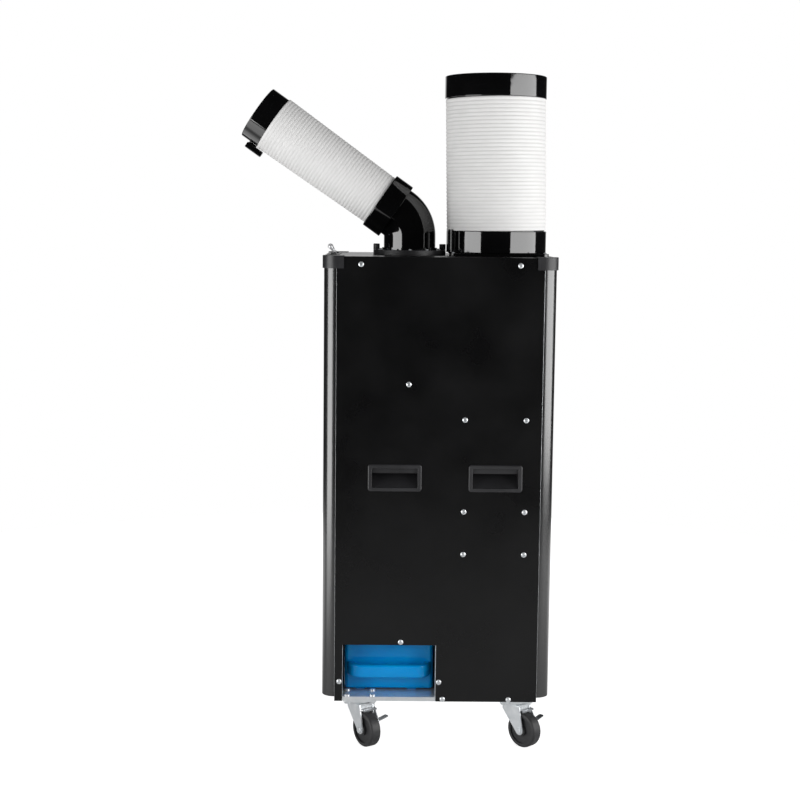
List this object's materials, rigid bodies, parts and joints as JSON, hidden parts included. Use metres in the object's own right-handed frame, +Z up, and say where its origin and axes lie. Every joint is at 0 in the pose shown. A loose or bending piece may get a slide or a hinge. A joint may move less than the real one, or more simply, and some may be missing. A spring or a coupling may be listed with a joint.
{
  "type": "portable spot cooler",
  "caption": "Upright sheet-metal spot cooler on swivel casters, with a swivelling ribbed cool-air nozzle, an upright ribbed exhaust hose and a slide-out water tank.",
  "frame": {"origin": "on the floor, under the middle of the whole object's box", "axes": "+Z up, -X towards the front where the nozzle points, -Y the side with the water tank"},
  "size_m": [0.6728, 0.458, 1.426],
  "materials": {
    "cabinet_paint": "satin black powder coat",
    "post_paint": "semi-gloss dark grey coat",
    "zinc": "bright zinc plate",
    "gloss_black": "gloss moulded plastic",
    "dark_plastic": "satin moulded plastic",
    "hose_white": "satin white hose",
    "tank_blue": "slightly translucent blue plastic",
    "wheel_rubber": "dark grey rubber",
    "brake_steel": "dark zinc",
    "lever_chrome": "polished",
    "galvanised": "galvanised sheet",
    "fins": "bare fins",
    "copper": "bare copper",
    "compressor_paint": "black coat"
  },
  "bodies": {
    "cabinet": {"base_pan": "zinc", "tank_side_panel": "cabinet_paint", "plain_side_panel": "cabinet_paint", "front_panel": "cabinet_paint", "rear_panel": "cabinet_paint", "corner_posts": "post_paint", "corner_caps": "dark_plastic", "top_cover": "cabinet_paint", "grip_cups": "dark_plastic", "fasteners": "zinc", "power_inlet": "dark_plastic", "control_strip": "dark_plastic", "toggle_switch": "dark_plastic", "caster_plates": "zinc", "swivel_ring": "dark_plastic", "clamp_knobs": "dark_plastic", "exhaust_base": "gloss_black", "exhaust_lower_cuff": "gloss_black", "exhaust_hose": "hose_white", "exhaust_top_cuff": "gloss_black", "exhaust_clip": "gloss_black", "partition_deck": "galvanised", "evaporator_coil": "fins", "condenser_coil": "fins", "drain_pan": "dark_plastic", "evaporator_scroll": "galvanised", "condenser_scroll": "galvanised", "fan_motor": "compressor_paint", "compressor": "compressor_paint", "refrigerant_pipes": "copper", "electrical_box": "galvanised"},
    "outlet": {"elbow": "gloss_black", "elbow_cuff": "gloss_black", "cold_hose": "hose_white", "nozzle_cuff": "gloss_black", "nozzle_clip": "gloss_black"},
    "fan": {"fan_shaft": "zinc", "evaporator_wheel": "dark_plastic", "condenser_wheel": "galvanised"},
    "tank": {"water_tank": "tank_blue"},
    "front_filter": {"front_filter": "dark_plastic"},
    "rear_filter": {"rear_filter": "dark_plastic"},
    "mode_button": {"mode_button": "dark_plastic"},
    "up_button": {"up_button": "dark_plastic"},
    "down_button": {"down_button": "dark_plastic"},
    "toggle": {"toggle_lever": "lever_chrome"},
    "fork_tank_side_front": {"caster_fork_tank_side_front": "zinc", "caster_axle_tank_side_front": "zinc"},
    "wheel_tank_side_front": {"caster_wheel_tank_side_front": "wheel_rubber"},
    "brake_tank_side_front": {"caster_brake_tank_side_front": "brake_steel"},
    "fork_tank_side_rear": {"caster_fork_tank_side_rear": "zinc", "caster_axle_tank_side_rear": "zinc"},
    "wheel_tank_side_rear": {"caster_wheel_tank_side_rear": "wheel_rubber"},
    "brake_tank_side_rear": {"caster_brake_tank_side_rear": "brake_steel"},
    "fork_plain_side_front": {"caster_fork_plain_side_front": "zinc", "caster_axle_plain_side_front": "zinc"},
    "wheel_plain_side_front": {"caster_wheel_plain_side_front": "wheel_rubber"},
    "fork_plain_side_rear": {"caster_fork_plain_side_rear": "zinc", "caster_axle_plain_side_rear": "zinc"},
    "wheel_plain_side_rear": {"caster_wheel_plain_side_rear": "wheel_rubber"}
  },
  "joints": [
    {"name": "caster_swivel_tank_side_front", "type": "hinge", "parent": "cabinet", "child": "fork_tank_side_front", "pos_m": [-0.06931, -0.171, 0.0915], "axis": [0, 0, 1], "continuous": true},
    {"name": "wheel_roll_tank_side_front", "type": "hinge", "parent": "fork_tank_side_front", "child": "wheel_tank_side_front", "pos_m": [-0.05382, -0.19312, 0.0375], "axis": [0.8192, 0.5736, 0], "continuous": true},
    {"name": "caster_brake_tank_side_front", "type": "hinge", "parent": "fork_tank_side_front", "child": "brake_tank_side_front", "pos_m": [-0.0431, -0.17706, 0.082], "axis": [0.8192, 0.5736, 0], "range_deg": [0, 11]},
    {"name": "caster_swivel_tank_side_rear", "type": "hinge", "parent": "cabinet", "child": "fork_tank_side_rear", "pos_m": [0.26469, -0.171, 0.0915], "axis": [0, 0, 1], "continuous": true},
    {"name": "wheel_roll_tank_side_rear", "type": "hinge", "parent": "fork_tank_side_rear", "child": "wheel_tank_side_rear", "pos_m": [0.28378, -0.19009, 0.0375], "axis": [0.7071, 0.7071, 0], "continuous": true},
    {"name": "caster_brake_tank_side_rear", "type": "hinge", "parent": "fork_tank_side_rear", "child": "brake_tank_side_rear", "pos_m": [0.29156, -0.17241, 0.082], "axis": [0.7071, 0.7071, 0], "range_deg": [0, 11]},
    {"name": "caster_swivel_plain_side_front", "type": "hinge", "parent": "cabinet", "child": "fork_plain_side_front", "pos_m": [-0.06931, 0.171, 0.0915], "axis": [0, 0, 1], "continuous": true},
    {"name": "wheel_roll_plain_side_front", "type": "hinge", "parent": "fork_plain_side_front", "child": "wheel_plain_side_front", "pos_m": [-0.05382, 0.19312, 0.0375], "axis": [-0.8192, 0.5736, 0], "continuous": true},
    {"name": "caster_swivel_plain_side_rear", "type": "hinge", "parent": "cabinet", "child": "fork_plain_side_rear", "pos_m": [0.26469, 0.171, 0.0915], "axis": [0, 0, 1], "continuous": true},
    {"name": "wheel_roll_plain_side_rear", "type": "hinge", "parent": "fork_plain_side_rear", "child": "wheel_plain_side_rear", "pos_m": [0.28378, 0.19009, 0.0375], "axis": [-0.7071, 0.7071, 0], "continuous": true},
    {"name": "outlet_swivel", "type": "hinge", "parent": "cabinet", "child": "outlet", "pos_m": [0.02939, 0, 1.0492], "axis": [0, 0, 1], "range_deg": [-95, 95]},
    {"name": "tank_slide", "type": "slide", "parent": "cabinet", "child": "tank", "axis": [0, -1, 0], "range_m": [0, 0.36]},
    {"name": "front_filter_pull", "type": "slide", "parent": "cabinet", "child": "front_filter", "axis": [-1, 0, 0], "range_m": [0, 0.04]},
    {"name": "rear_filter_pull", "type": "slide", "parent": "cabinet", "child": "rear_filter", "axis": [1, 0, 0], "range_m": [0, 0.04]},
    {"name": "fan_spin", "type": "hinge", "parent": "cabinet", "child": "fan", "pos_m": [0.02939, 0, 0.7], "axis": [1, 0, 0], "continuous": true},
    {"name": "toggle_throw", "type": "hinge", "parent": "cabinet", "child": "toggle", "pos_m": [-0.13331, 0, 1.0467], "axis": [0, 1, 0], "range_deg": [0, 32]},
    {"name": "mode_button_press", "type": "slide", "parent": "cabinet", "child": "mode_button", "axis": [0, 0, -1], "range_m": [0, 0.0015], "stiffness_N_per_m": 200},
    {"name": "up_button_press", "type": "slide", "parent": "cabinet", "child": "up_button", "axis": [0, 0, -1], "range_m": [0, 0.0015], "stiffness_N_per_m": 200},
    {"name": "down_button_press", "type": "slide", "parent": "cabinet", "child": "down_button", "axis": [0, 0, -1], "range_m": [0, 0.0015], "stiffness_N_per_m": 200}
  ]
}
